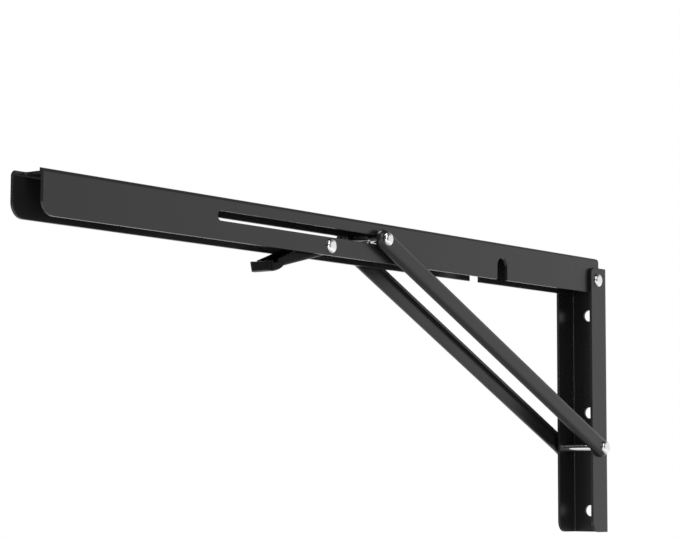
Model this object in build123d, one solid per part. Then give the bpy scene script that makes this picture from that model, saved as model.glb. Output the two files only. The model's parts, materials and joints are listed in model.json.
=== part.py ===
from build123d import *
from math import acos, atan2, cos, degrees, hypot, radians, sin, sqrt
import os

# A folding support bracket for a drop leaf: a channel leg that is screwed to the wall or
# the table frame, a channel arm that carries the leaf, two pressed brace bars between
# them, and a release lever inside the arm that locks the slide pin.
# Lengths are in millimetres. X = 0 is the wall face, the arm reaches toward -X, -Y is
# the near side, +Z is up, and the origin is the middle screw hole on the wall face.

# Sheet metal
SHEET = 2.0
BEND_RADIUS = 3.0
LEVER_SHEET = 1.8

# Clearances
NEST_GAP = 0.7
SIDE_GAP = 0.2
LEVER_SIDE_GAP = 2.2
SEAT_GAP = 0.05
RUNNING_GAP = 0.05
SLOT_GAP = 0.15
PATH_GAP = 0.3

# Wall leg
LEG_WIDTH = 31.4
LEG_DEPTH = 22.8
SCREW_PITCH = 75.0
SCREW_HOLE_DIAMETER = 8.5
LEG_BELOW_LAST_HOLE = 16.0
LEG_ABOVE_FIRST_HOLE = 35.2
LEG_FOOT_RADIUS = 8.0
LEG_HEAD_RADIUS = 5.5

# Pivots of the wall leg
HINGE_FROM_WALL = 13.8
HINGE_BELOW_TOP = 9.4
HINGE_TO_ROD = 128.0
ROD_FROM_WALL = 12.9
HINGE_SHANK_DIAMETER = 6.0
ROD_DIAMETER = 6.0

# Support arm
ARM_REACH = 602.0
ARM_HEIGHT = 26.8
ARM_BELOW_HINGE = 9.5
ARM_BACK_FROM_WALL = 8.0
ARM_EAR_RADIUS = 5.0
ARM_CROWN_RADIUS = 2.0
ARM_TIP_RADIUS = 9.0
ARM_WEB_SETBACK = 9.0
ARM_WEB_NOTCH_RADIUS = 2.0
LEAF_HOLE_DIAMETER = 5.5
LEAF_HOLE_PITCH = 150.0
LEAF_HOLE_FROM_TIP = 35.0
LEAF_HOLE_COUNT = 4

# Slide pin and its slot
SLIDE_PIN_DIAMETER = 6.0
SLIDE_PIN_ABOVE_HINGE = 5.5
SLOT_OVERRUN = 1.6
ROLLER_DIAMETER = 8.4

# Notch of the arm that clears the lower rod when folded
NOTCH_WIDTH = 13.0
NOTCH_CROWN_ABOVE_HINGE = 6.6

# Brace bars
BAR_PITCH = 307.9
BAR_WIDTH = 14.0
BAR_DEPTH = 4.6
BAR_EDGE_RADIUS = 3.8
COLLAR_DIAMETER = 9.0

# Rivet heads
HINGE_HEAD_DIAMETER = 10.0
ROD_HEAD_DIAMETER = 10.2
TOP_HEAD_DIAMETER = 8.8
LEVER_HEAD_DIAMETER = 9.5
HEAD_HEIGHT = 2.6
HEAD_RIM = 1.1
HEAD_BANDS = 4
TOP_SHANK_DIAMETER = 5.0

# Release lever
LEVER_RIVET_BEHIND_PIN = 52.1
LEVER_RIVET_BELOW_HINGE = 3.3
LEVER_SHANK_DIAMETER = 4.5
LEVER_SPACER_DIAMETER = 6.0
LEVER_TILT = 14.0
LEVER_LOCK_TURN = 8.0
LEVER_HEEL = 5.5
LEVER_CROWN = 5.3
LEVER_LENGTH = 59.6
LEVER_WEB_START = 9.0
LEVER_EDGE_RADIUS = 2.6
LEVER_CORNER_RADIUS = 4.0
CHEEK_END = 50.4
CHEEK_END_HEIGHT = 5.4
CHEEK_NOTCH_WIDTH = 5.2
CHEEK_NOTCH_FLOOR = 3.6
FINGER_WALL_HEIGHT = 5.6
FINGER_PAD_CENTRE = 53.0
FINGER_PAD_RADIUS = 12.0
FINGER_PAD_DEPTH = 1.8
HOOK_TOP = 10.0
HOOK_FOOT = 4.0
HOOK_LENGTH = 13.5
HOOK_RAMP_START = 12.0
HOOK_PIN_GAP = 0.5

# Return spring of the lever
WIRE_DIAMETER = 0.9
WIRE_SIDES = 6
COIL_TURNS = 4
COIL_PITCH = 1.05
COIL_GAP = 0.15
BEND_SWELL = 0.9
SPRING_EYE_REACH = 29.8
SPRING_EYE_ABOVE_HEEL = 2.8
SPRING_EYE_DIAMETER = 1.6
ANCHOR_REACH = 8.0
ANCHOR_SWING = 20.0

# Places that follow from the sizes above
LEG_TOP = SCREW_PITCH + LEG_ABOVE_FIRST_HOLE
LEG_BOTTOM = -SCREW_PITCH - LEG_BELOW_LAST_HOLE
LEG_HALF = LEG_WIDTH / 2
FLANGE_INNER = LEG_HALF - SHEET
ARM_HALF = FLANGE_INNER - NEST_GAP
ARM_INNER = ARM_HALF - SHEET
HINGE_X = -HINGE_FROM_WALL
HINGE_Z = LEG_TOP - HINGE_BELOW_TOP
ROD_X = -ROD_FROM_WALL
ROD_Z = HINGE_Z - HINGE_TO_ROD
ARM_BOTTOM = HINGE_Z - ARM_BELOW_HINGE
ARM_TOP = ARM_BOTTOM + ARM_HEIGHT
ARM_BACK = -ARM_BACK_FROM_WALL
ARM_TIP = -ARM_REACH
PIN_Z = HINGE_Z + SLIDE_PIN_ABOVE_HINGE
PIN_X = ROD_X - sqrt(BAR_PITCH**2 - (PIN_Z - ROD_Z) ** 2)
ROD_DROP_FOLDED = HINGE_FROM_WALL - ROD_FROM_WALL
FOLDED_SLIDE = HINGE_TO_ROD + sqrt(BAR_PITCH**2 - (SLIDE_PIN_ABOVE_HINGE + ROD_DROP_FOLDED) ** 2)
PIN_X_FOLDED = HINGE_X - FOLDED_SLIDE
SLOT_HALF = SLIDE_PIN_DIAMETER / 2 + SLOT_GAP
SLOT_BACK = PIN_X + SLOT_HALF + SLOT_GAP
SLOT_FRONT = PIN_X_FOLDED - SLOT_HALF - SLOT_OVERRUN
NOTCH_X = HINGE_X - HINGE_TO_ROD
BAR_ANGLE = degrees(atan2(PIN_Z - ROD_Z, PIN_X - ROD_X))
BAR_BASE = LEG_HALF + SIDE_GAP
BAR_WEB_INNER = BAR_BASE + BAR_DEPTH - SHEET
BAR_FACE = BAR_BASE + BAR_DEPTH
LEVER_X = PIN_X - LEVER_RIVET_BEHIND_PIN
LEVER_Z = HINGE_Z - LEVER_RIVET_BELOW_HINGE
LEVER_HALF = ARM_INNER - LEVER_SIDE_GAP
LEVER_INNER = LEVER_HALF - LEVER_SHEET
COIL_RADIUS = LEVER_SPACER_DIAMETER / 2 + COIL_GAP + WIRE_DIAMETER / 2


def side_plate(sketch, half_width):
    """A sketch drawn in X and Z, made solid from -half_width to +half_width in Y."""
    return extrude(Plane.XZ * sketch, amount=half_width, both=True)


def cross_pin(x, z, diameter, start, end):
    """A round pin along Y from start to end."""
    radius = diameter / 2
    return Pos(x, (start + end) / 2, z) * (Rot(90, 0, 0) * Cylinder(radius, abs(end - start)))


def tube(x, z, outer, bore, start, end):
    """A plain tube along Y from start to end."""
    return cross_pin(x, z, outer, start, end) - cross_pin(x, z, bore, start - 1, end + 1)


def domed_head(x, z, diameter, height, face, side):
    """A domed rivet head in a few bands, which stands on the plane Y = side * face."""
    radius = diameter / 2
    dome = height - HEAD_RIM
    angles = [radians(90 * band / HEAD_BANDS) for band in range(HEAD_BANDS)]
    bands = [(radius * cos(angle), HEAD_RIM + dome * sin(angle)) for angle in angles]
    profile = Polygon((0, 0), (radius, 0), *bands, (0, bands[-1][1]), align=None)
    body = revolve(Plane.XZ * profile, axis=Axis.Z)
    turn = Rot(90, 0, 0) if side < 0 else Rot(-90, 0, 0)
    return Pos(x, side * face, z) * (turn * body)


def channel_section(half, height, inner_half, bend):
    """A U section in X and Y, open toward -Y, with its web at the top at Y = 0."""
    outer = Pos(0, -height / 2) * Rectangle(2 * half, height)
    outer = fillet(outer.vertices().group_by(Axis.Y)[-1], bend)
    web = half - inner_half
    hollow = Pos(0, -web - height) * Rectangle(2 * inner_half, 2 * height)
    hollow = fillet(hollow.vertices().group_by(Axis.Y)[-1], max(bend - web, 0.2))
    return outer - hollow


def wall_leg():
    """The wall channel: its web lies on the wall and its flanges point into the room."""
    length = LEG_TOP - LEG_BOTTOM
    section = channel_section(LEG_HALF, LEG_DEPTH, FLANGE_INNER, BEND_RADIUS)
    standing = Plane(origin=(0, 0, LEG_BOTTOM), x_dir=(0, -1, 0), z_dir=(0, 0, 1))
    leg = extrude(standing * section, amount=length)
    middle = Pos(-LEG_DEPTH / 2, (LEG_TOP + LEG_BOTTOM) / 2)
    outline = middle * Rectangle(LEG_DEPTH, length)
    room = outline.vertices().group_by(Axis.X)[0].sort_by(Axis.Y)
    outline = fillet(room[0], LEG_FOOT_RADIUS)
    room = outline.vertices().group_by(Axis.Y)[-1].sort_by(Axis.X)
    outline = fillet(room[0], LEG_HEAD_RADIUS)
    leg = leg & side_plate(outline, LEG_HALF + 1)
    hole = Rot(0, 90, 0) * Cylinder(SCREW_HOLE_DIAMETER / 2, 4 * SHEET)
    for row in (-1, 0, 1):
        leg -= Pos(-SHEET / 2, 0, row * SCREW_PITCH) * hole
    reach = LEG_HALF + 1
    leg -= cross_pin(HINGE_X, HINGE_Z, HINGE_SHANK_DIAMETER + 2 * SEAT_GAP, -reach, reach)
    leg -= cross_pin(ROD_X, ROD_Z, ROD_DIAMETER + 2 * SEAT_GAP, -reach, reach)
    return leg


def through_rivet(x, z, shank, head, face):
    """A riveted pin with a domed head at each end, seated on the planes Y = -face and +face."""
    pin = cross_pin(x, z, shank, -face, face)
    for side in (-1, 1):
        pin += domed_head(x, z, head, HEAD_HEIGHT, face, side)
    return pin


def arm_outline():
    """Side view of the arm, with its rounded ear at the hinge and its rounded tip."""
    length = ARM_BACK - ARM_TIP
    middle = Pos((ARM_BACK + ARM_TIP) / 2, (ARM_TOP + ARM_BOTTOM) / 2)
    outline = middle * Rectangle(length, ARM_HEIGHT)
    low = outline.vertices().group_by(Axis.Y)[0].sort_by(Axis.X)
    outline = fillet(low[-1], ARM_EAR_RADIUS)
    low = outline.vertices().group_by(Axis.Y)[0].sort_by(Axis.X)
    outline = fillet(low[0], ARM_TIP_RADIUS)
    high = outline.vertices().group_by(Axis.Y)[-1].sort_by(Axis.X)
    return fillet(high[-1], ARM_CROWN_RADIUS)


def slot_cut():
    """The long slot that the slide pin runs in."""
    length = SLOT_BACK - SLOT_FRONT
    return Pos((SLOT_BACK + SLOT_FRONT) / 2, PIN_Z) * SlotOverall(length, 2 * SLOT_HALF)


def rod_notch():
    """The notch that drops over the lower rod when the arm is folded."""
    crown = HINGE_Z + NOTCH_CROWN_ABOVE_HINGE - NOTCH_WIDTH / 2
    floor = ARM_BOTTOM - 5
    stem = Pos(NOTCH_X, (crown + floor) / 2) * Rectangle(NOTCH_WIDTH, crown - floor)
    return stem + Pos(NOTCH_X, crown) * Circle(NOTCH_WIDTH / 2)


def web_setback():
    """The cut that sets the end of the web back between the two bends, seen from above."""
    reach = ARM_WEB_SETBACK
    cut = Pos(ARM_TIP, 0) * Rectangle(2 * reach, 2 * (ARM_HALF - BEND_RADIUS))
    inner = cut.vertices().group_by(Axis.X)[-1]
    return fillet(inner, ARM_WEB_NOTCH_RADIUS)


def support_arm():
    """The arm channel: web up under the leaf, open below, nested inside the leg flanges."""
    section = channel_section(ARM_HALF, ARM_HEIGHT + 1, ARM_INNER, BEND_RADIUS)
    lying = Plane(origin=(ARM_BACK, 0, ARM_TOP), x_dir=(0, -1, 0), z_dir=(-1, 0, 0))
    arm = extrude(lying * section, amount=ARM_BACK - ARM_TIP)
    arm = arm & side_plate(arm_outline(), ARM_HALF + 1)
    arm -= side_plate(slot_cut(), ARM_HALF + 1)
    arm -= side_plate(rod_notch(), ARM_HALF + 1)
    arm -= Pos(0, 0, ARM_TOP - 2 * SHEET) * extrude(web_setback(), amount=3 * SHEET)
    for row in range(LEAF_HOLE_COUNT):
        place = ARM_TIP + LEAF_HOLE_FROM_TIP + row * LEAF_HOLE_PITCH
        arm -= Pos(place, 0, ARM_TOP - SHEET / 2) * Cylinder(LEAF_HOLE_DIAMETER / 2, 4 * SHEET)
    reach = ARM_HALF + 1
    arm -= cross_pin(HINGE_X, HINGE_Z, HINGE_SHANK_DIAMETER + 2 * RUNNING_GAP, -reach, reach)
    arm -= cross_pin(LEVER_X, LEVER_Z, LEVER_SHANK_DIAMETER + 2 * SEAT_GAP, -reach, reach)
    return arm


def brace_bar(side):
    """A pressed brace bar: web outward, with one flange running all round its edge."""
    body = extrude(SlotCenterToCenter(BAR_PITCH, BAR_WIDTH), amount=BAR_DEPTH)
    body = fillet(body.faces().sort_by(Axis.Z)[-1].edges(), BAR_EDGE_RADIUS)
    pocket_depth = BAR_DEPTH - SHEET
    pocket = extrude(SlotCenterToCenter(BAR_PITCH, BAR_WIDTH - 2 * SHEET), amount=pocket_depth)
    body -= pocket
    half = BAR_PITCH / 2
    rod_hole = Cylinder(ROD_DIAMETER / 2 + RUNNING_GAP, 4 * BAR_DEPTH)
    pin_hole = Cylinder(TOP_SHANK_DIAMETER / 2 + SEAT_GAP, 4 * BAR_DEPTH)
    body -= Pos(-half, 0, 0) * rod_hole
    body -= Pos(half, 0, 0) * pin_hole
    along = (cos(radians(BAR_ANGLE)), 0, sin(radians(BAR_ANGLE)))
    place = Plane(origin=(ROD_X, side * BAR_BASE, ROD_Z), x_dir=along, z_dir=(0, side, 0))
    return place * (Pos(half, 0, 0) * body)


def top_rivet(side):
    """The riveted end of the slide pin in one bar: shank through the web, head outside."""
    start = side * BAR_BASE
    shank = cross_pin(PIN_X, PIN_Z, TOP_SHANK_DIAMETER, min(start, side * BAR_FACE), max(start, side * BAR_FACE))
    return shank + domed_head(PIN_X, PIN_Z, TOP_HEAD_DIAMETER, HEAD_HEIGHT, BAR_FACE, side)


def collar(x, z, bore, side, inner_face):
    """A spacer ring that fills a bar's hollow around a pivot."""
    ends = sorted((side * inner_face, side * (BAR_WEB_INNER - SEAT_GAP)))
    return tube(x, z, COLLAR_DIAMETER, bore, ends[0], ends[1])


def lever_plane():
    """Local frame of the lever: X runs from the rivet to the finger end, Z is away from its heel."""
    tilt = radians(LEVER_TILT)
    along = (-cos(tilt), 0, -sin(tilt))
    up = (-sin(tilt), 0, cos(tilt))
    return Plane(origin=(LEVER_X, 0, LEVER_Z), x_dir=along, z_dir=up)


def lever_trough(half, floor, length, edge, corner, pad_radius):
    """A round-edged block with a finger pad: used once for the outside, once for the hollow."""
    height = 4 * LEVER_HEEL
    section = Pos(0, floor + height / 2) * Rectangle(2 * half, height)
    section = fillet(section.vertices().group_by(Axis.Y)[0], edge)
    across = Plane(origin=(0, 0, 0), x_dir=(0, 1, 0), z_dir=(1, 0, 0))
    block = extrude(across * section, amount=length)
    low = floor - FINGER_PAD_DEPTH
    deep = Pos(0, low + height / 2) * Rectangle(2 * half, height)
    deep = fillet(deep.vertices().group_by(Axis.Y)[0], edge)
    pad = extrude(across * deep, amount=length)
    centre = low + pad_radius
    pad = pad & (Pos(FINGER_PAD_CENTRE, 0, centre) * (Rot(90, 0, 0) * Cylinder(pad_radius, 2 * half)))
    plan = Pos(length / 2, 0) * Rectangle(length, 2 * half)
    plan = fillet(plan.vertices().group_by(Axis.X)[-1], corner)
    return (block + pad) & (Pos(0, 0, -height) * extrude(plan, amount=3 * height))


def lever_handle():
    """The channel part of the lever, from behind the rivet to the finger end."""
    outside = lever_trough(
        LEVER_HALF, -LEVER_HEEL, LEVER_LENGTH, LEVER_EDGE_RADIUS, LEVER_CORNER_RADIUS, FINGER_PAD_RADIUS
    )
    hollow = lever_trough(
        LEVER_INNER,
        LEVER_SHEET - LEVER_HEEL,
        LEVER_LENGTH - LEVER_SHEET,
        LEVER_EDGE_RADIUS - LEVER_SHEET,
        LEVER_CORNER_RADIUS - LEVER_SHEET,
        FINGER_PAD_RADIUS - LEVER_SHEET,
    )
    handle = outside - hollow
    heel = -LEVER_HEEL - FINGER_PAD_DEPTH - 1
    notch_end = CHEEK_END + CHEEK_NOTCH_WIDTH
    with_top = Polygon(
        (0, heel),
        (LEVER_LENGTH + 1, heel),
        (LEVER_LENGTH + 1, FINGER_WALL_HEIGHT - LEVER_HEEL),
        (notch_end, FINGER_WALL_HEIGHT - LEVER_HEEL),
        (notch_end, CHEEK_NOTCH_FLOOR - LEVER_HEEL),
        (CHEEK_END, CHEEK_NOTCH_FLOOR - LEVER_HEEL),
        (CHEEK_END, CHEEK_END_HEIGHT - LEVER_HEEL),
        (0, LEVER_CROWN),
        align=None,
    )
    handle = handle & side_plate(with_top, LEVER_HALF + 1)
    bay = Pos(LEVER_WEB_START / 2, 0, 0) * Box(LEVER_WEB_START, 2 * LEVER_INNER, 6 * LEVER_HEEL)
    return handle - bay


def hook_cheeks():
    """The two cheeks that carry the locking hook, drawn locked and then turned to rest."""
    reach = PIN_X - SLIDE_PIN_DIAMETER / 2 - HOOK_PIN_GAP - LEVER_X
    hook = Polygon(
        (0, -LEVER_HEEL),
        (reach, HOOK_FOOT),
        (reach, HOOK_TOP),
        (reach - HOOK_LENGTH, HOOK_TOP),
        (HOOK_RAMP_START, LEVER_CROWN),
        (0, LEVER_CROWN),
        align=None,
    )
    hook = Rot(0, 0, -LEVER_LOCK_TURN) * hook
    plates = side_plate(hook + Circle(LEVER_HEEL), LEVER_HALF)
    plates -= Box(10 * reach, 2 * LEVER_INNER, 10 * reach)
    return Pos(LEVER_X, 0, LEVER_Z) * plates


def anchor_slot():
    """The curved slot of the far cheek that the fixed leg of the spring passes."""
    arc = CenterArc((0, 0), ANCHOR_REACH, -ANCHOR_SWING / 2, ANCHOR_SWING)
    width = SPRING_EYE_DIAMETER
    sketch = SlotArc(arc, width)
    depth = LEVER_SHEET + 2
    cut = extrude(Plane.XZ * sketch, amount=-depth)
    return Pos(LEVER_X, LEVER_INNER - 1, LEVER_Z) * cut


def release_lever():
    """The pressed release lever: channel handle, finger pad and two hook cheeks."""
    lever = lever_plane() * lever_handle() + hook_cheeks()
    reach = LEVER_HALF + 1
    lever -= cross_pin(LEVER_X, LEVER_Z, LEVER_SHANK_DIAMETER + 2 * RUNNING_GAP, -reach, reach)
    eye = spring_eye()
    lever -= cross_pin(eye[0], eye[1], SPRING_EYE_DIAMETER, -reach, -LEVER_INNER + 1)
    return lever - anchor_slot()


def spring_eye():
    """Where the moving leg of the spring goes through the near cheek."""
    tilt = radians(LEVER_TILT)
    rise = SPRING_EYE_ABOVE_HEEL - LEVER_HEEL
    x = LEVER_X - SPRING_EYE_REACH * cos(tilt) - rise * sin(tilt)
    z = LEVER_Z - SPRING_EYE_REACH * sin(tilt) + rise * cos(tilt)
    return (x, z)


def wire(start, end):
    """A straight piece of spring wire, with the swelling of a tight bend at its start."""
    path = Line(start, end)
    bead = WIRE_DIAMETER * BEND_SWELL
    section = Plane(origin=start, z_dir=path % 0) * RegularPolygon(WIRE_DIAMETER / 2, WIRE_SIDES)
    return extrude(section, amount=path.length) + Pos(*start) * Box(bead, bead, bead)


def tangent_angle(x, z, side):
    """Angle at which a line from (x, z), seen from the coil axis, touches the coil."""
    return degrees(atan2(z, x)) + side * degrees(acos(COIL_RADIUS / hypot(x, z)))


def on_coil(angle, y):
    """A point on the centre line of the wire of the coil."""
    x = LEVER_X + COIL_RADIUS * cos(radians(angle))
    z = LEVER_Z + COIL_RADIUS * sin(radians(angle))
    return (x, y, z)


def lever_spring():
    """Torsion spring on the lever spacer, with one leg to the lever and one to the arm wall."""
    eye = spring_eye()
    from_anchor = tangent_angle(ANCHOR_REACH, 0, 1)
    to_eye = tangent_angle(eye[0] - LEVER_X, eye[1] - LEVER_Z, -1) % 360
    turns = COIL_TURNS + (to_eye - from_anchor) / 360
    height = turns * COIL_PITCH
    helix = Helix(pitch=COIL_PITCH, height=height, radius=COIL_RADIUS)
    start = Plane(origin=helix @ 0, z_dir=helix % 0)
    coil = sweep(start * RegularPolygon(WIRE_DIAMETER / 2, WIRE_SIDES), path=helix)
    coil = Rot(90, 0, 0) * (Rot(0, 0, from_anchor) * coil)
    coil = Pos(LEVER_X, height / 2, LEVER_Z) * coil
    near = -LEVER_INNER + WIRE_DIAMETER
    corner = (eye[0], near, eye[1])
    tip = (eye[0], -LEVER_HALF + PATH_GAP, eye[1])
    far = (LEVER_X + ANCHOR_REACH, height / 2, LEVER_Z)
    end = (LEVER_X + ANCHOR_REACH, ARM_INNER - PATH_GAP - WIRE_DIAMETER / 2, LEVER_Z)
    coil += wire(on_coil(from_anchor, height / 2), far)
    coil += wire(far, end)
    coil += wire(on_coil(to_eye, -height / 2), corner)
    coil += wire(corner, tip)
    return coil


def hinge_spacer():
    """The tube on the hinge rivet that keeps the ears of the arm apart."""
    bore = HINGE_SHANK_DIAMETER + 2 * SEAT_GAP
    end = ARM_INNER - SEAT_GAP
    return tube(HINGE_X, HINGE_Z, HINGE_SHANK_DIAMETER + 3, bore, -end, end)


def lever_spacer():
    """The tube on the lever rivet that the spring is wound round."""
    bore = LEVER_SHANK_DIAMETER + 2 * SEAT_GAP
    end = LEVER_INNER - SEAT_GAP
    return tube(LEVER_X, LEVER_Z, LEVER_SPACER_DIAMETER, bore, -end, end)


def slide_roller():
    """The steel roller on the slide pin, between the cheeks of the lever."""
    bore = SLIDE_PIN_DIAMETER + 2 * SEAT_GAP
    end = LEVER_INNER - PATH_GAP
    return tube(PIN_X, PIN_Z, ROLLER_DIAMETER, bore, -end, end)


def all_parts():
    """Every piece of the bracket by its name."""
    pin_end = BAR_BASE - PATH_GAP
    rod_bore = ROD_DIAMETER + 2 * RUNNING_GAP
    top_bore = TOP_SHANK_DIAMETER + 2 * SEAT_GAP
    rod_face = BAR_FACE + PATH_GAP / 3
    collar_start = LEG_HALF + SEAT_GAP
    return {
        "wall_leg": wall_leg(),
        "hinge_rivet": through_rivet(HINGE_X, HINGE_Z, HINGE_SHANK_DIAMETER, HINGE_HEAD_DIAMETER, LEG_HALF),
        "hinge_spacer": hinge_spacer(),
        "lower_rod": through_rivet(ROD_X, ROD_Z, ROD_DIAMETER, ROD_HEAD_DIAMETER, rod_face),
        "near_lower_collar": collar(ROD_X, ROD_Z, rod_bore, -1, collar_start),
        "far_lower_collar": collar(ROD_X, ROD_Z, rod_bore, 1, collar_start),
        "support_arm": support_arm(),
        "lever_rivet": through_rivet(LEVER_X, LEVER_Z, LEVER_SHANK_DIAMETER, LEVER_HEAD_DIAMETER, ARM_HALF),
        "lever_spacer": lever_spacer(),
        "release_lever": release_lever(),
        "lever_spring": lever_spring(),
        "slide_pin": cross_pin(PIN_X, PIN_Z, SLIDE_PIN_DIAMETER, -pin_end, pin_end),
        "slide_roller": slide_roller(),
        "near_brace_bar": brace_bar(-1),
        "far_brace_bar": brace_bar(1),
        "near_top_rivet": top_rivet(-1),
        "far_top_rivet": top_rivet(1),
        "near_top_collar": collar(PIN_X, PIN_Z, top_bore, -1, BAR_BASE),
        "far_top_collar": collar(PIN_X, PIN_Z, top_bore, 1, BAR_BASE),
    }


os.makedirs("parts", exist_ok=True)
for name, shape in all_parts().items():
    export_step(shape, f"parts/{name}.step")
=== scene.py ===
"""Looks for a drop leaf table bracket: gloss black pressed steel, zinc rivets and a return spring."""

import json
import logging
import math
from dataclasses import dataclass, field
from enum import Enum

import bpy
import numpy as np
from mathutils import Matrix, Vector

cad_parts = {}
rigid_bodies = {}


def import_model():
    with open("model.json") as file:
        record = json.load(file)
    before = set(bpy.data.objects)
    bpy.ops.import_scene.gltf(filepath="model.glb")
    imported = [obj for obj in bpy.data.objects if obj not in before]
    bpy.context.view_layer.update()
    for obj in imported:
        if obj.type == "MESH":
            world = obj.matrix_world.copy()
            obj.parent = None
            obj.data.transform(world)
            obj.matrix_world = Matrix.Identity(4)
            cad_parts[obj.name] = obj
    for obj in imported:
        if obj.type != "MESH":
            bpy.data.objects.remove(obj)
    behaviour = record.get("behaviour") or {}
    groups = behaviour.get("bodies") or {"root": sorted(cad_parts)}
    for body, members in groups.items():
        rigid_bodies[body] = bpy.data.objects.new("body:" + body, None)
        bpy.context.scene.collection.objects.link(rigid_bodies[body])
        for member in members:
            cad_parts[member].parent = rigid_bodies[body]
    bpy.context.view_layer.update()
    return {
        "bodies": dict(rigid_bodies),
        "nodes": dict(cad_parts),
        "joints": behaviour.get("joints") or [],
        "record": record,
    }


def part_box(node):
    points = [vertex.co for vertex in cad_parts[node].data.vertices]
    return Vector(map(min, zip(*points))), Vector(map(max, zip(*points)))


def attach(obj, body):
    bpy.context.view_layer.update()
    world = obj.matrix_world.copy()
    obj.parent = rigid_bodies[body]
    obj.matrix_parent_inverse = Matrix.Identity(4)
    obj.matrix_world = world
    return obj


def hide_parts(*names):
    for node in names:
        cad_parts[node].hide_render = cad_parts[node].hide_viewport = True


LOG = logging.getLogger("bracket")
MM = 0.001
NOISE_SPAN = (0.3, 0.7)
SAME_PLACE = 0.001 * MM


# Node helpers


def add_node(tree: bpy.types.NodeTree, kind: str, **values: object) -> bpy.types.Node:
    """Adds a node and fills its sockets or settings.

    Args:
        tree: Node tree that receives the node.
        kind: Blender's identifier of the node type.
        values: Socket names with spaces as underscores, or node settings in lower case.

    Returns:
        The new node.
    """
    node = tree.nodes.new(kind)
    for name, value in values.items():
        socket = node.inputs.get(name.replace("_", " "))
        if socket is not None:
            socket.default_value = value
        else:
            setattr(node, name, value)
    return node


def link(tree: bpy.types.NodeTree, source: bpy.types.NodeSocket, target: bpy.types.NodeSocket) -> None:
    """Joins two sockets."""
    tree.links.new(source, target)


def ramp(
    tree: bpy.types.NodeTree,
    source: bpy.types.NodeSocket,
    span: tuple[float, float],
    result: tuple[float, float] = (0.0, 1.0),
) -> bpy.types.NodeSocket:
    """Turns a span of values into another one, and holds them at its ends.

    Args:
        tree: Node tree that receives the node.
        source: The value to turn.
        span: Its values at the two ends.
        result: What they become.

    Returns:
        The socket of the result.
    """
    node = add_node(
        tree, "ShaderNodeMapRange", From_Min=span[0], From_Max=span[1], To_Min=result[0], To_Max=result[1]
    )
    link(tree, source, node.inputs["Value"])
    return node.outputs["Result"]


def mix_shaders(
    tree: bpy.types.NodeTree,
    share: bpy.types.NodeSocket,
    first: bpy.types.Node,
    second: bpy.types.Node,
) -> bpy.types.Node:
    """Mixes two shaders.

    Args:
        tree: Node tree that receives the node.
        share: The share of the second shader.
        first: Shader at a share of 0.
        second: Shader at a share of 1.

    Returns:
        The mixing node.
    """
    mix = add_node(tree, "ShaderNodeMixShader")
    for source, target in zip((share, first.outputs[0], second.outputs[0]), mix.inputs):
        link(tree, source, target)
    return mix


def tint(
    tree: bpy.types.NodeTree,
    share: bpy.types.NodeSocket,
    first: tuple[float, float, float],
    second: tuple[float, float, float],
) -> bpy.types.NodeSocket:
    """Mixes two colours, with the Mix node's colour sockets: 6 and 7 in, 2 out.

    Args:
        tree: Node tree that receives the node.
        share: The share of the second colour.
        first: Colour at a share of 0.
        second: Colour at a share of 1.

    Returns:
        The socket of the mixed colour.
    """
    mix = add_node(tree, "ShaderNodeMix", data_type="RGBA")
    mix.inputs[6].default_value = (*first, 1.0)
    mix.inputs[7].default_value = (*second, 1.0)
    link(tree, share, mix.inputs[0])
    return mix.outputs[2]


def new_material(name: str) -> tuple[bpy.types.Material, bpy.types.NodeTree, bpy.types.Node]:
    """Makes a material.

    Args:
        name: Name of the material.

    Returns:
        The material, its node tree and its Principled BSDF.
    """
    material = bpy.data.materials.new(name)
    material.use_nodes = True
    tree = material.node_tree
    return material, tree, tree.nodes["Principled BSDF"]


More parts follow.
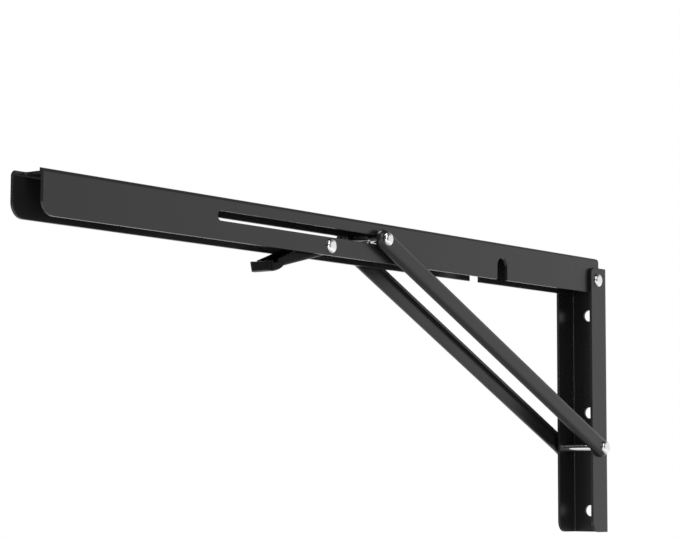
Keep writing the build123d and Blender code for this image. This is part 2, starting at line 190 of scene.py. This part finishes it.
class ShaderGroups:
    """The shader effects that several finishes share, each built once."""

    SPECK_EDGE = (0.72, 0.78)

    def __init__(self) -> None:
        """Builds every shared group."""
        self.skin = self._build_skin()
        self.grain = self._build_grain()

    @staticmethod
    def _shell(name: str, inputs: dict[str, float], outputs: tuple[str, ...]) -> bpy.types.NodeTree:
        """Makes an empty group with named float sockets.

        Args:
            name: Name of the group.
            inputs: Input names with their default values.
            outputs: Output names.

        Returns:
            The group's node tree, with its input and output nodes.
        """
        tree = bpy.data.node_groups.new(name, "ShaderNodeTree")
        for label, value in inputs.items():
            socket = tree.interface.new_socket(label, in_out="INPUT", socket_type="NodeSocketFloat")
            socket.default_value = value
        for label in outputs:
            tree.interface.new_socket(label, in_out="OUTPUT", socket_type="NodeSocketFloat")
        tree.nodes.new("NodeGroupInput")
        tree.nodes.new("NodeGroupOutput")
        return tree

    def _build_skin(self) -> bpy.types.NodeTree:
        """The skin of sprayed paint.

        A fine noise gives the orange peel, a broad noise the slow change of gloss,
        and a sparse sharp noise the specks of dust.

        Returns:
            A group with the outputs Height, Gloss and Dust.
        """
        tree = self._shell(
            "paint_skin",
            {"Peel Scale": 900.0, "Flow Scale": 22.0, "Dust Scale": 2600.0, "Dust Amount": 0.1},
            ("Height", "Gloss", "Dust"),
        )
        entry, leave = tree.nodes["Group Input"], tree.nodes["Group Output"]
        place = add_node(tree, "ShaderNodeTexCoord")
        peel = add_node(tree, "ShaderNodeTexNoise", Detail=2.0, Roughness=0.45)
        flow = add_node(tree, "ShaderNodeTexNoise", Detail=3.0, Roughness=0.5)
        dust = add_node(tree, "ShaderNodeTexNoise", Detail=1.0, Roughness=0.3)
        for noise, label in ((peel, "Peel Scale"), (flow, "Flow Scale"), (dust, "Dust Scale")):
            link(tree, place.outputs["Object"], noise.inputs["Vector"])
            link(tree, entry.outputs[label], noise.inputs["Scale"])
        amount = add_node(tree, "ShaderNodeMath", operation="MULTIPLY")
        link(tree, ramp(tree, dust.outputs["Fac"], self.SPECK_EDGE), amount.inputs[0])
        link(tree, entry.outputs["Dust Amount"], amount.inputs[1])
        link(tree, peel.outputs["Fac"], leave.inputs["Height"])
        link(tree, flow.outputs["Fac"], leave.inputs["Gloss"])
        link(tree, amount.outputs["Value"], leave.inputs["Dust"])
        return tree

    def _build_grain(self) -> bpy.types.NodeTree:
        """The fine grain of plated or drawn metal.

        A noise stretched along one axis gives the drawing lines, and a cloudy noise
        gives the slow change of tone of a plated surface.

        Returns:
            A group with the outputs Lines and Cloud.
        """
        tree = self._shell(
            "metal_grain",
            {"Line Scale": 1400.0, "Stretch": 0.08, "Cloud Scale": 240.0},
            ("Lines", "Cloud"),
        )
        entry, leave = tree.nodes["Group Input"], tree.nodes["Group Output"]
        place = add_node(tree, "ShaderNodeTexCoord")
        squeeze = add_node(tree, "ShaderNodeCombineXYZ", X=1.0, Z=1.0)
        link(tree, entry.outputs["Stretch"], squeeze.inputs["Y"])
        stretched = add_node(tree, "ShaderNodeVectorMath", operation="MULTIPLY")
        link(tree, place.outputs["Object"], stretched.inputs[0])
        link(tree, squeeze.outputs["Vector"], stretched.inputs[1])
        lines = add_node(tree, "ShaderNodeTexNoise", Detail=3.0, Roughness=0.6)
        link(tree, stretched.outputs["Vector"], lines.inputs["Vector"])
        link(tree, entry.outputs["Line Scale"], lines.inputs["Scale"])
        cloud = add_node(tree, "ShaderNodeTexNoise", Detail=3.0, Roughness=0.55)
        link(tree, place.outputs["Object"], cloud.inputs["Vector"])
        link(tree, entry.outputs["Cloud Scale"], cloud.inputs["Scale"])
        link(tree, lines.outputs["Fac"], leave.inputs["Lines"])
        link(tree, cloud.outputs["Fac"], leave.inputs["Cloud"])
        return tree


# Finishes


@dataclass(frozen=True)
class GlossPaint:
    """Smooth sprayed black gloss paint on pressed steel."""

    name: str
    colour: tuple[float, float, float] = (0.0115, 0.0115, 0.0119)
    dust_colour: tuple[float, float, float] = (0.05, 0.05, 0.05)
    roughness: tuple[float, float] = (0.24, 0.33)
    peel_depth: float = 0.05
    peel_height: float = 0.2 * MM
    index: float = 1.5
    shine: float = 0.5
    soft_edge: float = 0.45 * MM
    edge_rays: int = 6

    def build(self, groups: ShaderGroups) -> bpy.types.Material:
        """Makes the paint.

        Args:
            groups: The shared shader groups.

        Returns:
            The material.
        """
        material, tree, shader = new_material(self.name)
        shader.inputs["IOR"].default_value = self.index
        shader.inputs["Specular IOR Level"].default_value = self.shine
        skin = add_node(tree, "ShaderNodeGroup", node_tree=groups.skin)
        gloss = ramp(tree, skin.outputs["Gloss"], NOISE_SPAN, self.roughness)
        link(tree, gloss, shader.inputs["Roughness"])
        colour = tint(tree, skin.outputs["Dust"], self.colour, self.dust_colour)
        link(tree, colour, shader.inputs["Base Color"])
        edge = add_node(tree, "ShaderNodeBevel", Radius=self.soft_edge, samples=self.edge_rays)
        bump = add_node(tree, "ShaderNodeBump", Strength=self.peel_depth, Distance=self.peel_height)
        link(tree, edge.outputs["Normal"], bump.inputs["Normal"])
        link(tree, skin.outputs["Height"], bump.inputs["Height"])
        link(tree, bump.outputs["Normal"], shader.inputs["Normal"])
        return material


@dataclass(frozen=True)
class PlatedSteel:
    """Zinc plated or bare drawn steel."""

    name: str
    colour: tuple[float, float, float]
    shade: tuple[float, float, float]
    roughness: tuple[float, float]
    grain_depth: float = 0.12
    grain_height: float = 0.1 * MM
    cloud_span: tuple[float, float] = (0.35, 0.75)

    def build(self, groups: ShaderGroups) -> bpy.types.Material:
        """Makes the metal.

        Args:
            groups: The shared shader groups.

        Returns:
            The material.
        """
        material, tree, shader = new_material(self.name)
        shader.inputs["Metallic"].default_value = 1.0
        grain = add_node(tree, "ShaderNodeGroup", node_tree=groups.grain)
        cloud = ramp(tree, grain.outputs["Cloud"], self.cloud_span)
        link(tree, tint(tree, cloud, self.colour, self.shade), shader.inputs["Base Color"])
        lines = ramp(tree, grain.outputs["Lines"], NOISE_SPAN, self.roughness)
        link(tree, lines, shader.inputs["Roughness"])
        bump = add_node(tree, "ShaderNodeBump", Strength=self.grain_depth, Distance=self.grain_height)
        link(tree, grain.outputs["Lines"], bump.inputs["Height"])
        link(tree, bump.outputs["Normal"], shader.inputs["Normal"])
        return material


class Finish(Enum):
    """The finishes of the bracket, with the values of each."""

    PAINT = GlossPaint("black_gloss_paint")
    # The lever's paint is a duller dipped black, and its colour is also darker than the arm's paint as
    # painted shade, so that the lever reads as dark as its shaded faces.
    DARK = GlossPaint(
        "dipped_black_with_painted_shade",
        colour=(0.0032, 0.0032, 0.0034),
        dust_colour=(0.03, 0.03, 0.03),
        roughness=(0.22, 0.30),
        shine=0.08,
        soft_edge=0.8 * MM,
    )
    ZINC = PlatedSteel("zinc_plate", (0.96, 0.96, 0.97), (0.86, 0.87, 0.89), (0.08, 0.16), 0.04)
    STEEL = PlatedSteel("plain_steel", (0.48, 0.48, 0.49), (0.33, 0.33, 0.34), (0.3, 0.42))
    WIRE = PlatedSteel("oiled_spring_wire", (0.10, 0.10, 0.105), (0.05, 0.05, 0.055), (0.25, 0.38))


class Paintbox:
    """Builds each finish once and hands it out."""

    def __init__(self) -> None:
        """Builds the shared groups."""
        self.groups = ShaderGroups()
        self.made: dict[Finish, bpy.types.Material] = {}

    def get(self, finish: Finish) -> bpy.types.Material:
        """The material of a finish, made at its first use.

        Args:
            finish: Which finish.

        Returns:
            The material.
        """
        if finish not in self.made:
            self.made[finish] = finish.value.build(self.groups)
        return self.made[finish]


# Surfaces


@dataclass
class SmoothSkin:
    """A modifier that shades bends smoothly and keeps sheet edges crisp."""

    crease_degrees: float = 32.0
    merge_distance: float = 0.002 * MM
    tree: bpy.types.NodeTree | None = None

    def build(self) -> bpy.types.NodeTree:
        """Makes the geometry nodes group: merge, shade smooth, then crisp where the angle is large.

        Returns:
            The group.
        """
        tree = bpy.data.node_groups.new("smooth_skin", "GeometryNodeTree")
        tree.interface.new_socket("Geometry", in_out="INPUT", socket_type="NodeSocketGeometry")
        tree.interface.new_socket("Geometry", in_out="OUTPUT", socket_type="NodeSocketGeometry")
        entry = tree.nodes.new("NodeGroupInput")
        leave = tree.nodes.new("NodeGroupOutput")
        merge = add_node(tree, "GeometryNodeMergeByDistance", Distance=self.merge_distance)
        smooth = add_node(tree, "GeometryNodeSetShadeSmooth", domain="FACE")
        crisp = add_node(tree, "GeometryNodeSetShadeSmooth", domain="EDGE")
        crisp.inputs["Shade Smooth"].default_value = False
        angle = add_node(tree, "GeometryNodeInputMeshEdgeAngle")
        steep = add_node(tree, "FunctionNodeCompare", data_type="FLOAT", operation="GREATER_THAN")
        steep.inputs[1].default_value = math.radians(self.crease_degrees)
        link(tree, angle.outputs["Unsigned Angle"], steep.inputs[0])
        link(tree, entry.outputs[0], merge.inputs["Geometry"])
        link(tree, merge.outputs["Geometry"], smooth.inputs["Geometry"])
        link(tree, smooth.outputs["Geometry"], crisp.inputs["Geometry"])
        link(tree, steep.outputs["Result"], crisp.inputs["Selection"])
        link(tree, crisp.outputs["Geometry"], leave.inputs[0])
        return tree

    def apply(self, piece: bpy.types.Object) -> None:
        """Adds the skin and area-weighted normals to a piece.

        Args:
            piece: The piece to shade.
        """
        if self.tree is None:
            self.tree = self.build()
        skin = piece.modifiers.new("smooth_skin", "NODES")
        skin.node_group = self.tree
        normals = piece.modifiers.new("flat_faces", "WEIGHTED_NORMAL")
        normals.mode = "FACE_AREA"
        normals.weight = 100
        normals.keep_sharp = True


@dataclass
class Dresser:
    """Gives CAD nodes their finish and smooth shading."""

    frame: dict
    paints: Paintbox
    skin: SmoothSkin = field(default_factory=SmoothSkin)

    def dress(self, node: str, finish: Finish) -> bpy.types.Object:
        """Paints one CAD node.

        Args:
            node: Name of the node.
            finish: Its finish.

        Returns:
            The node's object.
        """
        piece = self.frame["nodes"][node]
        self.finish(piece, finish)
        return piece

    def finish(self, piece: bpy.types.Object, finish: Finish) -> None:
        """Gives any piece its finish and its shading.

        Args:
            piece: The piece.
            finish: Its finish.
        """
        material = self.paints.get(finish)
        if not piece.material_slots:
            piece.data.materials.append(material)
        for slot in piece.material_slots:
            slot.material = material
        self.skin.apply(piece)
        LOG.info("dressed %s as %s", piece.name, finish.name)


def box_corners(node: str) -> tuple[np.ndarray, np.ndarray]:
    """The low and the high corner of a CAD node's box."""
    low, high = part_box(node)
    return np.array(low), np.array(high)


def mesh_piece(name: str, points: np.ndarray, faces: list[list[int]], body: str) -> bpy.types.Object:
    """Makes a smooth-shaded piece that rides on a body.

    Args:
        name: Name of the piece.
        points: Vertices as rows of x, y and z, in metres.
        faces: Faces as lists of vertex numbers.
        body: Name of the CAD body.

    Returns:
        The object, at the origin.
    """
    mesh = bpy.data.meshes.new(name)
    mesh.from_pydata(points.tolist(), [], faces)
    mesh.polygons.foreach_set("use_smooth", np.ones(len(mesh.polygons), bool))
    mesh.update()
    piece = bpy.data.objects.new(name, mesh)
    bpy.context.scene.collection.objects.link(piece)
    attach(piece, body)
    return piece


def capped_tube_faces(rows: int, columns: int) -> list[list[int]]:
    """Faces of a tube of rows rings with columns points each, with a cap at both ends.

    Each ring is joined to the next by quads, and the caps are one face each.

    Args:
        rows: Number of rings.
        columns: Points in a ring.

    Returns:
        Lists of vertex numbers, which face outward where the rings turn as a
        right-hand screw does about the way from the first to the last.
    """
    r = np.arange(rows - 1)[:, None] * columns
    c = np.arange(columns)[None, :]
    d = (c + 1) % columns
    quads = np.stack([r + c, r + d, r + columns + d, r + columns + c], axis=-1)
    first = np.arange(columns)[::-1].tolist()
    last = (np.arange(columns) + (rows - 1) * columns).tolist()
    return [*quads.reshape(-1, 4).tolist(), first, last]


def lathe(profile: np.ndarray, x: float, z: float, columns: int) -> np.ndarray:
    """Points of a surface turned about a line along Y.

    A profile point (radius, y) sweeps a circle about the line: x plus radius times the
    cosine of the turn, y, and z minus radius times its sine.

    Args:
        profile: Rows of radius and y.
        x: Place of the line.
        z: Place of the line.
        columns: Points in each circle.

    Returns:
        Points, circle after circle.
    """
    turn = np.linspace(0.0, 2.0 * math.pi, columns, endpoint=False)
    radius, y = profile[:, :1], profile[:, 1:]
    rings = [x + radius * np.cos(turn), y + 0.0 * turn, z - radius * np.sin(turn)]
    return np.stack(rings, axis=-1).reshape(-1, 3)


def sweep(path: np.ndarray, radius: float, columns: int, guide: tuple[float, float, float]) -> np.ndarray:
    """Points of a round wire along a path.

    The tangent is the difference of the path's points. The first side of each ring is
    the tangent crossed with the guide, the second is square to both, and a ring point is
    the path's point plus the radius times the cosine and sine of its turn on those sides.

    Args:
        path: Rows of x, y and z.
        radius: Radius of the wire.
        columns: Points in each ring.
        guide: A direction that the path never takes.

    Returns:
        Points, ring after ring.
    """
    tangent = np.gradient(path, axis=0)
    tangent /= np.linalg.norm(tangent, axis=1, keepdims=True)
    side = np.cross(tangent, np.array(guide))
    side /= np.linalg.norm(side, axis=1, keepdims=True)
    up = np.cross(tangent, side)
    turn = np.linspace(0.0, 2.0 * math.pi, columns, endpoint=False)[None, :, None]
    rings = path[:, None] + radius * (np.cos(turn) * side[:, None] + np.sin(turn) * up[:, None])
    return rings.reshape(-1, 3)


# Rivets and spring


@dataclass(frozen=True)
class RivetHead:
    """A pressed rivet head: a short rim and a dome that flattens toward its crown."""

    radius: float
    height: float = 2.6 * MM
    rim: float = 0.7 * MM
    rings: int = 16
    fullness: float = 2.15
    crown: float = 0.02

    def profile(self, face: float, side: float) -> np.ndarray:
        """Rows of radius and y, from the foot to the crown.

        The dome is a quarter of a superellipse: the radius and the rise, each as a share
        of its most, have powers of the fullness that add up to one.

        Args:
            face: Distance from the middle plane to the plate that the head stands on.
            side: -1 for the near side, 1 for the far side.

        Returns:
            The head's part of the profile.
        """
        turn = np.linspace(0.0, math.pi / 2.0, self.rings)
        share = 2.0 / self.fullness
        radius = self.radius * np.maximum(np.cos(turn), 0.0) ** share
        rise = self.rim + (self.height - self.rim) * np.sin(turn) ** share
        radius = np.append(self.radius, np.maximum(radius, self.crown * self.radius))
        return np.stack([radius, side * (face + np.append(0.0, rise))], axis=1)


@dataclass(frozen=True)
class Rivet:
    """A riveted pin along Y that takes the place of a CAD node and keeps its box."""

    node: str
    body: str
    slot: str
    shank: float
    columns: int = 96

    def end(self, y: float, reach: float, radius: float) -> np.ndarray:
        """One end of the pin, from the shank outward.

        The end that reaches furthest from the middle plane has a head, and another one
        is cut flat.

        Args:
            y: Where the end is.
            reach: Distance of the furthest end from the middle plane.
            radius: Radius of the head.

        Returns:
            Rows of radius and y.
        """
        shank = self.shank / 2.0
        if not math.isclose(abs(y), reach, rel_tol=0.0, abs_tol=SAME_PLACE):
            return np.array([[shank, y]])
        head = RivetHead(radius)
        face = reach - head.height
        side = math.copysign(1.0, y)
        return np.concatenate([[[shank, side * face]], head.profile(face, side)])

    def build(self, dresser: Dresser) -> bpy.types.Object:
        """Turns the pin on its axis and dresses it in zinc.

        Args:
            dresser: Gives the finish and the shading.

        Returns:
            The new piece.
        """
        low, high = box_corners(self.node)
        centre = (low + high) / 2.0
        radius = (high[0] - low[0]) / 2.0
        reach = max(abs(low[1]), abs(high[1]))
        near, far = (self.end(y, reach, radius) for y in (low[1], high[1]))
        profile = np.concatenate([near[::-1], far])
        points = lathe(profile, centre[0], centre[2], self.columns)
        faces = capped_tube_faces(len(profile), self.columns)
        piece = mesh_piece(f"{self.node}_turned", points, faces, self.body)
        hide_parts(self.node)
        dresser.finish(piece, Finish.ZINC)
        return piece


@dataclass(frozen=True)
class ReturnSpring:
    """The torsion spring of the release lever: a close coil with a leg at each end."""

    node: str = "lever_spring"
    around: str = "lever_spacer"
    body: str = "release_lever"
    slot: str = "spring_steel"
    wire: float = 0.9 * MM
    gap: float = 0.15 * MM
    pitch: float = 1.05 * MM
    turns: int = 4
    anchor: float = 8.0 * MM
    bend: float = 1.3 * MM
    eye_rise: float = 2.4
    run_steps: int = 8
    bend_steps: int = 12
    turn_steps: int = 40
    columns: int = 20
    guide: tuple[float, float, float] = (-0.4, 0.6, -0.69)

    def bent(self, start: np.ndarray, corner: np.ndarray, end: np.ndarray) -> np.ndarray:
        """A wire from start to end round a corner.

        The bend is a parabola: it leaves the first run and meets the second one at the
        same distance from the corner, which pulls it inward.

        Args:
            start: First point.
            corner: Where the two runs would meet.
            end: Last point.

        Returns:
            Points from start to end.
        """
        into = corner + self.bend * (start - corner) / np.linalg.norm(start - corner)
        away = corner + self.bend * (end - corner) / np.linalg.norm(end - corner)
        t = np.linspace(0.0, 1.0, self.bend_steps)[:, None]
        curve = (1.0 - t) ** 2 * into + 2.0 * t * (1.0 - t) * corner + t**2 * away
        run = np.linspace(0.0, 1.0, self.run_steps)[:, None]
        first = start + run[:-1] * (into - start)
        last = away + run[1:] * (end - away)
        return np.concatenate([first, curve, last])

    def path(self) -> np.ndarray:
        """Centre line of the wire: lever leg, coil and wall leg.

        The coil is a helix: its angle and its y both grow evenly. Each leg leaves it
        along the tangent toward the leg's corner.

        Returns:
            Rows of x, y and z.
        """
        low, high = box_corners(self.around)
        x, _, z = (low + high) / 2.0
        box_low, box_high = box_corners(self.node)
        half = self.wire / 2.0
        radius = (high[0] - low[0]) / 2.0 + self.gap + half
        eye = box_low[0] + half - x, box_low[2] + half - z
        lean = math.acos(radius / self.anchor)
        to_eye = math.atan2(eye[1], eye[0]) - math.acos(radius / math.hypot(*eye))
        wound = (to_eye - lean) % math.tau + math.tau * self.turns
        depth = self.pitch * wound / math.tau
        t = np.linspace(0.0, 1.0, self.turn_steps * (self.turns + 1))[1:-1]
        angle = lean + t * wound
        coil = np.stack(
            [x + radius * np.cos(angle), depth / 2.0 - depth * t, z + radius * np.sin(angle)], axis=1
        )
        top = np.array([x + radius * math.cos(lean), depth / 2.0, z + radius * math.sin(lean)])
        foot = np.array([x + radius * math.cos(to_eye), -depth / 2.0, z + radius * math.sin(to_eye)])
        wall = self.bent(
            np.array([x + self.anchor, box_high[1], z]),
            np.array([x + self.anchor, depth / 2.0, z]),
            top,
        )
        lever = self.bent(
            foot,
            np.array([x + eye[0], box_low[1] + self.eye_rise * self.bend, z + eye[1]]),
            np.array([x + eye[0], box_low[1], z + eye[1]]),
        )
        return np.concatenate([wall, coil, lever])

    def build(self, dresser: Dresser) -> bpy.types.Object:
        """Sweeps the wire and dresses it.

        Args:
            dresser: Gives the finish and the shading.

        Returns:
            The new piece.
        """
        path = self.path()
        points = sweep(path, self.wire / 2.0, self.columns, self.guide)
        piece = mesh_piece("return_spring", points, capped_tube_faces(len(path), self.columns), self.body)
        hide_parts(self.node)
        dresser.finish(piece, Finish.WIRE)
        return piece


# Sub-assemblies


@dataclass
class WallLeg:
    """The wall channel with its hinge rivet, lower rod and their spacers."""

    dresser: Dresser
    pin_shank: float = 6.0 * MM

    def build(self) -> None:
        """Dresses the leg in paint and turns its pins in zinc."""
        self.dresser.dress("wall_leg", Finish.PAINT)
        for node, slot in (("hinge_rivet", "hinge_zinc"), ("lower_rod", "rod_zinc")):
            Rivet(node, "wall_leg", slot, self.pin_shank).build(self.dresser)
        for node in ("hinge_spacer", "near_lower_collar", "far_lower_collar"):
            self.dresser.dress(node, Finish.STEEL)


@dataclass
class SupportArm:
    """The arm channel with the lever's rivet."""

    dresser: Dresser
    rivet_shank: float = 4.5 * MM

    def build(self) -> None:
        """Dresses the arm in paint and the spacer in steel, and turns the rivet in zinc."""
        self.dresser.dress("support_arm", Finish.PAINT)
        Rivet("lever_rivet", "support_arm", "lever_rivet_zinc", self.rivet_shank).build(self.dresser)
        self.dresser.dress("lever_spacer", Finish.STEEL)


@dataclass
class ReleaseLever:
    """The release lever and its return spring."""

    dresser: Dresser

    def build(self) -> None:
        """Dresses the lever in paint and winds the spring."""
        self.dresser.dress("release_lever", Finish.DARK)
        ReturnSpring().build(self.dresser)


@dataclass
class SlideGear:
    """The slide pin and its roller."""

    dresser: Dresser

    def build(self) -> None:
        """Dresses both in zinc."""
        for node in ("slide_pin", "slide_roller"):
            self.dresser.dress(node, Finish.ZINC)


@dataclass
class BraceBars:
    """The two brace bars with the riveted ends of the slide pin."""

    dresser: Dresser
    rivet_shank: float = 5.0 * MM

    def build(self) -> None:
        """Dresses the bars in paint and the collars in steel, and turns the rivets in zinc."""
        for side in ("near", "far"):
            self.dresser.dress(f"{side}_brace_bar", Finish.PAINT)
            Rivet(f"{side}_top_rivet", "braces", "top_rivet_zinc", self.rivet_shank).build(self.dresser)
            self.dresser.dress(f"{side}_top_collar", Finish.STEEL)


# Studio


@dataclass(frozen=True)
class SoftLamp:
    """A square soft lamp, with its place and side in metres and its power in watts."""

    name: str
    place: tuple[float, float, float]
    side: float
    power: float

    def build(self, aim: tuple[float, float, float]) -> None:
        """Hangs the lamp and turns it toward a point.

        Args:
            aim: The point that it lights.
        """
        light = bpy.data.lights.new(self.name, "AREA")
        light.shape = "SQUARE"
        light.size = self.side
        light.energy = self.power
        ahead = np.array(aim) - np.array(self.place)
        ahead = ahead / np.linalg.norm(ahead)
        right = np.cross(ahead, (0.0, 0.0, 1.0))
        right = right / np.linalg.norm(right)
        put(self.name, light, self.place, (right, np.cross(right, ahead), -ahead))


def put(
    name: str,
    data: bpy.types.ID,
    place: tuple[float, float, float],
    axes: tuple[np.ndarray, np.ndarray, np.ndarray],
) -> bpy.types.Object:
    """Puts a lamp or a camera in the scene.

    Args:
        name: Name of the object.
        data: Its lamp or camera data.
        place: Where it stands.
        axes: Its own X, Y and Z as directions of the scene.

    Returns:
        The object.
    """
    piece = bpy.data.objects.new(name, data)
    bpy.context.scene.collection.objects.link(piece)
    matrix = np.eye(4)
    matrix[:3, :3] = np.stack(axes, axis=1)
    matrix[:3, 3] = place
    piece.matrix_world = Matrix(matrix.tolist())
    return piece


@dataclass
class Studio:
    """Floor, light and camera, in metres and degrees."""

    floor_height: float = -0.62
    floor_reach: float = 6.0
    floor_tone: float = 0.86
    floor_roughness: float = 0.9
    floor_gloss: float = 0.32
    floor_fade: tuple[float, float] = (0.5, 1.6)
    window_heading: float = -10.0
    window_edge: tuple[float, float] = (0.35, 0.62)
    window_level: float = 0.84
    ceiling_edge: tuple[float, float] = (0.32, 0.55)
    dark_side: float = 0.2
    soft_level: float = 0.55
    lamps: tuple[SoftLamp, ...] = (
        SoftLamp("key", (-1.1, -1.6, 1.5), 1.6, 16.0),
        SoftLamp("overhead", (-0.5, 0.5, 1.7), 0.9, 14.0),
        SoftLamp("camera_side", (-1.35, -1.45, 0.05), 0.3, 2.5),
    )
    lamp_aim: tuple[float, float, float] = (-0.3, 0.0, 0.0)
    camera_place: tuple[float, float, float] = (-1.44205, -0.8730, -0.06034)
    heading: float = 37.79
    pitch: float = 5.83
    roll: float = 0.2
    frame_width: float = 680.0
    focal_width: float = 2165.64
    sensor: float = 36.0
    clip: tuple[float, float] = (0.05, 40.0)

    def floor(self) -> None:
        """A plain pale floor that keeps the shadow and fades to the white surround.

        From below it is clear, so that it hides nothing.
        """
        material, tree, shader = new_material("pale_floor")
        tone = self.floor_tone
        shader.inputs["Base Color"].default_value = (tone, tone, tone, 1.0)
        shader.inputs["Roughness"].default_value = self.floor_roughness
        shader.inputs["Specular IOR Level"].default_value = 0.0
        place = add_node(tree, "ShaderNodeTexCoord")
        reach = add_node(tree, "ShaderNodeVectorMath", operation="LENGTH")
        link(tree, place.outputs["Object"], reach.inputs[0])
        path = add_node(tree, "ShaderNodeLightPath")
        dim = add_node(tree, "ShaderNodeEmission", Strength=self.floor_gloss)
        shade = mix_shaders(tree, path.outputs["Is Glossy Ray"], shader, dim)
        glow = add_node(tree, "ShaderNodeEmission", Strength=1.0)
        faded = mix_shaders(tree, ramp(tree, reach.outputs["Value"], self.floor_fade), shade, glow)
        under = add_node(tree, "ShaderNodeNewGeometry")
        clear = add_node(tree, "ShaderNodeBsdfTransparent")
        sided = mix_shaders(tree, under.outputs["Backfacing"], faded, clear)
        link(tree, sided.outputs[0], tree.nodes["Material Output"].inputs["Surface"])
        r, z = self.floor_reach, self.floor_height
        mesh = bpy.data.meshes.new("floor")
        mesh.from_pydata([(-r, -r, z), (r, -r, z), (r, r, z), (-r, r, z)], [], [(0, 1, 2, 3)])
        mesh.materials.append(material)
        piece = bpy.data.objects.new("floor", mesh)
        bpy.context.scene.collection.objects.link(piece)

    def surround(self) -> None:
        """A white surround for the eye, an even soft level for light, and a studio with dark sides for
        gloss.

        The window is a broad white band toward window_heading, near eye level. Gloss
        sees it fade to the dark sides and ceiling, as in a small product studio.
        """
        world = bpy.data.worlds.new("surround")
        bpy.context.scene.world = world
        world.use_nodes = True
        tree = world.node_tree
        tree.nodes.clear()
        path = add_node(tree, "ShaderNodeLightPath")
        place = add_node(tree, "ShaderNodeTexCoord")
        away = math.radians(self.window_heading)
        toward = add_node(tree, "ShaderNodeVectorMath", operation="DOT_PRODUCT")
        toward.inputs[1].default_value = (math.cos(away), math.sin(away), 0.0)
        link(tree, place.outputs["Generated"], toward.inputs[0])
        window = (self.dark_side, self.window_level)
        band = ramp(tree, toward.outputs["Value"], self.window_edge, window)
        parts = add_node(tree, "ShaderNodeSeparateXYZ")
        link(tree, place.outputs["Generated"], parts.inputs["Vector"])
        ceiling = ramp(tree, parts.outputs["Z"], self.ceiling_edge, (1.0, self.dark_side))
        level = add_node(tree, "ShaderNodeMath", operation="MULTIPLY")
        link(tree, band, level.inputs[0])
        link(tree, ceiling, level.inputs[1])
        white = (1.0, 1.0, 1.0, 1.0)
        soft = add_node(tree, "ShaderNodeBackground", Color=white, Strength=self.soft_level)
        gloss = add_node(tree, "ShaderNodeBackground", Color=white)
        plain = add_node(tree, "ShaderNodeBackground", Color=white, Strength=1.0)
        link(tree, level.outputs["Value"], gloss.inputs["Strength"])
        glossy = mix_shaders(tree, path.outputs["Is Glossy Ray"], soft, gloss)
        seen = mix_shaders(tree, path.outputs["Is Camera Ray"], glossy, plain)
        leave = add_node(tree, "ShaderNodeOutputWorld")
        link(tree, seen.outputs[0], leave.inputs["Surface"])

    def camera(self) -> None:
        """The photograph's camera: heading, pitch and roll turn it, and the lens gives its view."""
        lens = bpy.data.cameras.new("camera")
        lens.lens = self.sensor * self.focal_width / self.frame_width
        lens.sensor_width = self.sensor
        lens.sensor_fit = "HORIZONTAL"
        lens.clip_start, lens.clip_end = self.clip
        heading, pitch, roll = (math.radians(v) for v in (self.heading, self.pitch, self.roll))
        level = np.array((math.cos(heading), math.sin(heading), 0.0))
        up = np.array((0.0, 0.0, 1.0))
        ahead = level * math.cos(pitch) + up * math.sin(pitch)
        rise = up * math.cos(pitch) - level * math.sin(pitch)
        right = np.array((math.sin(heading), -math.cos(heading), 0.0))
        side = right * math.cos(roll) + rise * math.sin(roll)
        top = rise * math.cos(roll) - right * math.sin(roll)
        camera = put("camera", lens, self.camera_place, (side, top, -ahead))
        bpy.context.scene.camera = camera

    def build(self) -> None:
        """Sets up the whole studio."""
        self.floor()
        self.surround()
        for lamp in self.lamps:
            lamp.build(self.lamp_aim)
        self.camera()
        bpy.context.scene.view_settings.view_transform = "Standard"


def main() -> None:
    """Builds the bracket's looks and the studio."""
    logging.basicConfig(level=logging.INFO, format="%(name)s: %(message)s")
    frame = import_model()
    dresser = Dresser(frame, Paintbox())
    for part in (WallLeg, SupportArm, ReleaseLever, SlideGear, BraceBars):
        part(dresser).build()
        LOG.info("finished %s", part.__name__)
    Studio().build()


if __name__ == "__main__":
    main()
